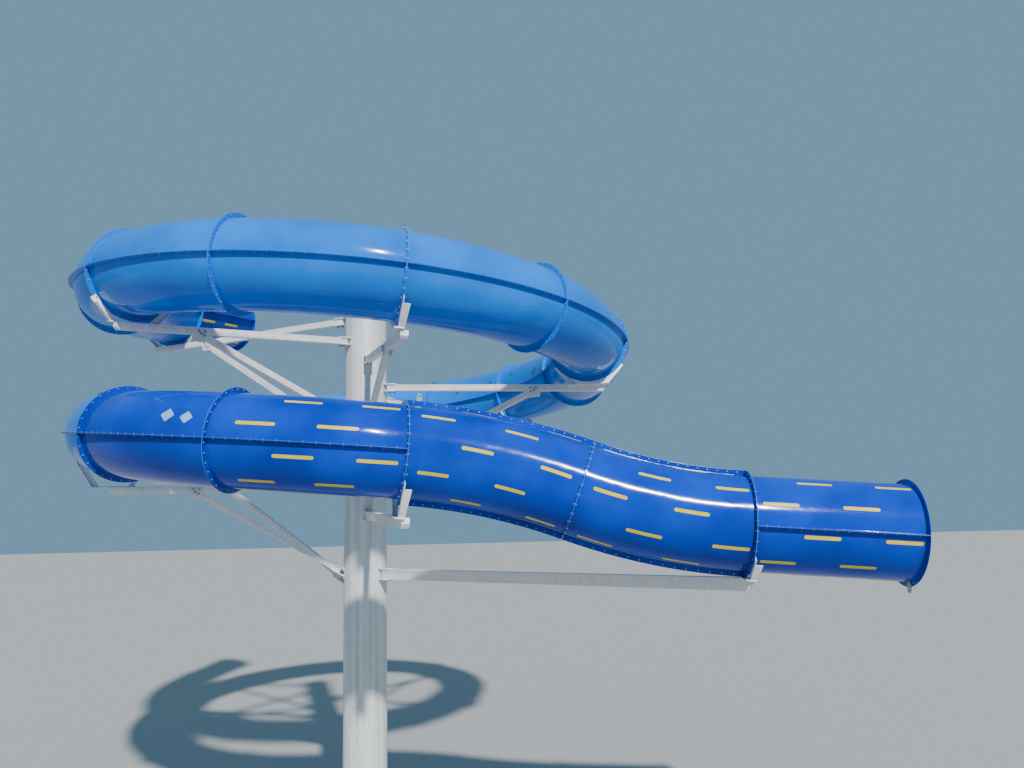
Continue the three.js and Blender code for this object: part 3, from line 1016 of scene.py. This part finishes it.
cap_low, cap_high = (corner.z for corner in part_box("column_cap"))
middle = (0, 0, (cap_low + cap_high) / 2)
cap = start_rod("column_cap_plate", COLUMN_SIDES, CAP_RADIUS, CAP_THICKNESS, middle)
pick(lambda p: p.z > cap_high - SMALL)
bpy.ops.mesh.inset(thickness=CAP_BORDER)
bpy.ops.transform.translate(value=(0, 0, -CAP_SINK))
round_edges(close_piece(cap), CAP_EDGE)
hand_over(cap, STEEL, "galvanised_steel", "column_cap")
print("cap faces:", len(cap.data.polygons))

# %% Footing
FOOTING_EDGE, FOOTING_HALF = 0.022, 0.580
TIE_ROD_RADIUS, TIE_ROD_LENGTH = 0.013, 0.050
TIE_ROD_OFFSETS, TIE_ROD_HEIGHTS = (-0.36, 0.36), (0.17, 0.50)

footing = softened("concrete_footing", FOOTING_EDGE, segments=1)
tie_rod = close_piece(start_rod("tie_rod", 16, TIE_ROD_RADIUS, TIE_ROD_LENGTH))
places = [
    spin(90 * side) @ Matrix.Translation((FOOTING_HALF, across, height)) @ spin(90, "Y")
    for side in range(4) for across in TIE_ROD_OFFSETS for height in TIE_ROD_HEIGHTS
]
drill([footing], copies(tie_rod, "tie_rods", places))
clear_away(tie_rod)
hand_over(footing, CONCRETE, "concrete", "concrete_footing")
print("footing faces:", len(footing.data.polygons))

# %% Base plate and its anchor bolts
PLATE_TOP = 0.7383
ANCHOR_CIRCLE, ANCHORS = 0.498, 8
ANCHOR_WASHER, ANCHOR_NUT, ANCHOR_ROD = 0.038, 0.031, 0.017
ANCHOR_EDGE = 0.0018

base_plate = softened("base_plate", STEEL_EDGE)
hand_over(base_plate, STEEL, "galvanised_steel", "base_plate")


def anchor_model():
    """A washer, a nut, a thinner lock nut and the threaded rod that stands out of them."""
    washer_height = 0.008
    middle = (0, 0, PLATE_TOP + washer_height / 2)
    anchor = start_rod("anchor", 24, ANCHOR_WASHER, washer_height, middle)
    add_disc(6, ANCHOR_NUT, PLATE_TOP + washer_height, PLATE_TOP + 0.036)
    add_disc(6, ANCHOR_NUT, PLATE_TOP + 0.037, PLATE_TOP + 0.056)
    add_disc(16, ANCHOR_ROD, PLATE_TOP, PLATE_TOP + 0.085)
    round_edges(close_piece(anchor), ANCHOR_EDGE)
    return anchor


anchor = anchor_model()
step = 360 / ANCHORS
anchors = copies(
    anchor, "anchor_bolts", [on_circle(step * (i + 0.5), ANCHOR_CIRCLE) for i in range(ANCHORS)]
)
clear_away(anchor)
hand_over(anchors, BOLT_STEEL_AND_PAINTED_LUG_SHADE, "galvanised_steel")
print("anchor bolts:", ANCHORS)

# %% [markdown]
# ## Arms
# Each arm is a box beam held between two bracket plates that are welded to the column. Most have a
# brace below, held the same way. A seat and two angle-section legs stand on the beam's end and hold the
# flange of a tube joint between them. The beam's end is raked back underneath, and a plug closes the
# upright part of it; the plug's pale coat is painted sunlight on the end, which faces the sun. For each
# arm the list gives its joint, the beam's depth, how much higher the beam is at the column than under
# the seat, how far it reaches past the seat, and for the brace its place on the beam and its fall.

# %% Numbers of the arms, as in the CAD model
BEAM_WIDTH = 0.120
ROOT_RADIUS = COLUMN_RADIUS + 0.070
SEAT_HEIGHT, EXIT_SEAT_HEIGHT = 0.020, 0.015
SEAT_LEAD, SEAT_TUCK, RING_GAP = 0.025, 0.008, 0.002
ARMS = {
    "arm_entry": (0, 0.125, 0.310, 0.400, (3.800, 2.400)),
    "arm_upper_left": (2, 0.125, 0.280, 0.300, (3.640, 1.560)),
    "arm_upper_front": (4, 0.125, 0.350, 0.330, (3.300, 1.250)),
    "arm_upper_right": (6, 0.125, 0.220, 0.290, (3.650, 1.600)),
    "arm_upper_back": (8, 0.125, 0.400, 0.330, (3.520, 1.930)),
    "arm_lower_back": (12, 0.150, 0.000, 0.330, (3.420, 2.030)),
    "arm_lower_left": (13, 0.150, 0.000, 0.060, (3.300, 1.650)),
    "arm_lower_front": (16, 0.150, 0.000, 0.330, None),
    "arm_exit": (18, 0.190, -0.135, 0.060, None),
}


def arm_axis(name):
    """The beam's heights at the column and at its tip, the tip's radius, and the beam's heading."""
    number, depth, lift, overhang, _ = ARMS[name]
    centre, heading, slope = joints[number]
    middle = centre + direction(heading, slope) * SEAT_LEAD
    reach = math.hypot(middle.x, middle.y)
    rise = seat(joints[number]).to_3x3() @ Vector((0, 1, 0))
    seat_height = EXIT_SEAT_HEIGHT if name == "arm_exit" else SEAT_HEIGHT
    flange_foot = centre.z - FLANGE_RADIUS * rise.z
    under = flange_foot - RING_GAP - SEAT_DROPS[number] - seat_height + SEAT_TUCK - depth / 2
    fall = lift / (reach - ROOT_RADIUS)
    return under + lift, under - fall * overhang, reach + overhang, math.atan2(middle.y, middle.x)


# %% Bolts through the brackets and gussets
BOLT_SCALE = 1.9
BRACKET_THICKNESS, BRACE_DEPTH, GUSSET_THICKNESS = 0.018, 0.110, 0.011
BOLTS_FROM_ROOT, BOLTS_ACROSS = (0.045, 0.130), (-0.035, 0.035)
BOLTS_BEFORE_KNEE, BOLT_RISE = (0.055, 0.165), 0.005
BOLTS_DOWN_BRACE = (0.10, 0.17)


def through_bolt(name, half_grip):
    return bolt_model(name, half_grip, half_grip, BOLT_SCALE)


def member_bolts(bolt, start, end, turn):
    """Four bolts square to a member, near its start, in the arm's upright plane."""
    along = (end - start).normalized()
    out = Matrix.Rotation(turn, 4, "Z")
    slope = Matrix.Rotation(-math.atan2(along.z, along.x), 4, "Y")
    placed = []
    for distance in BOLTS_FROM_ROOT:
        for side in BOLTS_ACROSS:
            spot = Matrix.Translation(start + along * distance) @ slope
            spot = spot @ Matrix.Translation((0, side, 0))
            placed.append(copy_piece(bolt, "arm_bolt", out @ spot))
    return placed


def gusset_bolts(bolt, knee, foot, turn):
    """Bolts that run level through the gusset plates, two in the beam and two in the brace."""
    along = (foot - knee).normalized()
    out = Matrix.Rotation(turn, 4, "Z")
    level = spin(90, "X")
    spots = [knee + Vector((-back, 0, BOLT_RISE)) for back in BOLTS_BEFORE_KNEE]
    spots += [knee + along * distance for distance in BOLTS_DOWN_BRACE]
    return [copy_piece(bolt, "arm_bolt", out @ Matrix.Translation(spot) @ level) for spot in spots]


def arm_bolts(name):
    _, depth, _, _, brace = ARMS[name]
    root_height, tip_height, tip_radius, turn = arm_axis(name)
    root, tip = Vector((ROOT_RADIUS, 0, root_height)), Vector((tip_radius, 0, tip_height))
    grip = through_bolt("grip", depth / 2 + BRACKET_THICKNESS)
    placed = member_bolts(grip, root, tip, turn)
    models_used = [grip]
    if brace:
        knee = root.lerp(tip, (brace[0] - ROOT_RADIUS) / (tip_radius - ROOT_RADIUS))
        foot = Vector((ROOT_RADIUS, 0, root_height - brace[1]))
        brace_grip = through_bolt("brace_grip", BRACE_DEPTH / 2 + BRACKET_THICKNESS)
        knee_grip = through_bolt("knee_grip", BEAM_WIDTH / 2 + GUSSET_THICKNESS)
        placed += member_bolts(brace_grip, foot, knee, turn)
        placed += gusset_bolts(knee_grip, knee, foot, turn)
        models_used += [brace_grip, knee_grip]
    bolts = join_pieces(f"{name}_bolts", placed)
    clear_away(*models_used)
    return bolts


# %% Dress the arms
NOSE_HEIGHT = 0.080
PLUG_RIM, PLUG_DEPTH, PLUG_EDGE = 0.007, 0.005, 0.0015
FIELD_BORDER, FIELD_SINK = 0.012, 0.002


def end_cap(name):
    """The plug in a beam's end: a rounded plate with a sunk field. Its pale coat is painted sunlight."""
    number, depth, lift, _, _ = ARMS[name]
    _, tip_height, tip_radius, turn = arm_axis(name)
    centre = joints[number][0]
    slope = math.atan2(lift, math.hypot(centre.x, centre.y) - ROOT_RADIUS)
    plug = start_piece(f"{name}_end_cap", bpy.ops.mesh.primitive_cube_add, size=1)
    pick_all()
    size = (PLUG_DEPTH, BEAM_WIDTH - 2 * PLUG_RIM, NOSE_HEIGHT - 2 * PLUG_RIM)
    bpy.ops.transform.resize(value=size, center_override=(0, 0, 0))
    pick(lambda p: p.x > 0)
    bpy.ops.mesh.inset(thickness=FIELD_BORDER)
    bpy.ops.transform.translate(value=(-FIELD_SINK, 0, 0))
    round_edges(close_piece(plug), PLUG_EDGE)
    plug.data.transform(
        Matrix.Rotation(turn, 4, "Z") @ Matrix.Translation((tip_radius, 0, tip_height))
        @ Matrix.Rotation(slope, 4, "Y") @ Matrix.Translation((0, 0, (depth - NOSE_HEIGHT) / 2))
    )
    return plug


for name in ARMS:
    hand_over(softened(name, STEEL_EDGE), STEEL, "galvanised_steel", name)
    # The plug's pale coat is painted sunlight.
    hand_over(end_cap(name), PALE_CAP_PAINTED_SUNLIGHT, "galvanised_steel")
    hand_over(arm_bolts(name), BOLT_STEEL_AND_PAINTED_LUG_SHADE, "galvanised_steel")
print("arms:", len(ARMS))

# %% [markdown]
# ## Lifting lugs
# A crane lifts each assembled stretch by plates that are clamped to its flanges. Two were left on: one
# on the top seam, just after the joint where the coil ends, and one under the open end of the run.
# Their dark grey is painted shade.


# %% Two lugs
LUG_THICKNESS, LUG_EDGE, LUG_GAP = 0.012, 0.0015, 0.0005
LUG_HOLE, LUG_HOLE_DEPTH, LUG_ROOT = 0.019, 0.050, 0.005


def lug(name, place, reach, half_width):
    """A round-headed plate. Its hole stands at a reach from the tube's axis, along the place's x."""
    side = LIP + LUG_GAP + LUG_THICKNESS / 2
    piece = start_rod(name, 24, half_width, LUG_THICKNESS, (reach, 0, side))
    pick(lambda p: p.x < reach + SMALL)
    bpy.ops.transform.translate(value=(TUBE_RADIUS + half_width - LUG_ROOT - reach, 0, 0))
    close_piece(piece)
    drill([piece], close_piece(start_rod("hole", 20, LUG_HOLE, LUG_HOLE_DEPTH, (reach, 0, side))))
    round_edges(piece, LUG_EDGE)
    piece.data.transform(place)
    # The lug's dark bolt steel is painted shade.
    return hand_over(piece, BOLT_STEEL_AND_PAINTED_LUG_SHADE, "galvanised_steel")


def turned_seat(station, angle, tip=0):
    """A seat turned about the run, and then tipped about its own x."""
    turn = spin(angle) @ spin(tip, "X")
    return seat(station) @ turn


lug("coil_end_lug", turned_seat(station_at("bend_tube", 0.205), 90, -90), 0.850, 0.040)
lug("exit_end_lug", turned_seat(STRETCHES["exit_tube"][-1], -80), 0.795, 0.065)
print("lugs: 2")

# %% [markdown]
# ## Camera, light and floor
# The camera stands where the picture of the slide was taken, six and a half metres up, with a lens of
# 27 mm. The light is a high sun from behind the camera's right shoulder. A wide lamp on the left and a
# light blue surround fill the shadows. The floor is grey and plain.


# %% Camera
def place_camera(eye, pitch, roll, lens):
    bpy.ops.object.camera_add()
    camera = bpy.context.object
    camera.matrix_world = Matrix.Translation(eye) @ spin(90 + pitch, "X") @ spin(roll)
    camera.data.lens = lens
    camera.data.sensor_width = 36
    camera.data.clip_end = 500
    bpy.context.scene.camera = camera


place_camera(eye=(3.03, -15.755, 6.5), pitch=7.76, roll=-1.39, lens=27.0)


# %% Light and surround
def add_light(name, kind, place, target, energy, **settings):
    bpy.ops.object.light_add(type=kind, location=place)
    light = bpy.context.object
    light.name = name
    way = Vector(target) - Vector(place)
    light.rotation_euler = way.to_track_quat("-Z", "Y").to_euler()
    light.data.energy = energy
    for key, value in settings.items():
        setattr(light.data, key, value)


add_light(
    "key", "SUN", place=(9, -27, 23.5), target=(0, 0, 0),
    energy=6.0, angle=math.radians(2), color=(1.0, 0.97, 0.92),
)
add_light(
    "fill", "AREA", place=(-16, -14, 14), target=(0, 0, 6),
    energy=120, size=12, color=(0.75, 0.88, 1.0),
)

world = bpy.data.worlds.new("studio")
bpy.context.scene.world = world
world.use_nodes = True
background = world.node_tree.nodes["Background"]
background.inputs["Color"].default_value = (0.31, 0.60, 0.88, 1)
background.inputs["Strength"].default_value = 0.55


# %% Floor
bpy.ops.mesh.primitive_plane_add(size=160, location=(0, 0, -0.002))
floor = bpy.context.object
floor.name = "studio_floor"
floor_finish, _, floor_shader = new_finish("studio floor")
floor_shader.inputs["Base Color"].default_value = (0.37, 0.37, 0.36, 1)
floor_shader.inputs["Roughness"].default_value = 0.85
floor.data.materials.append(floor_finish)
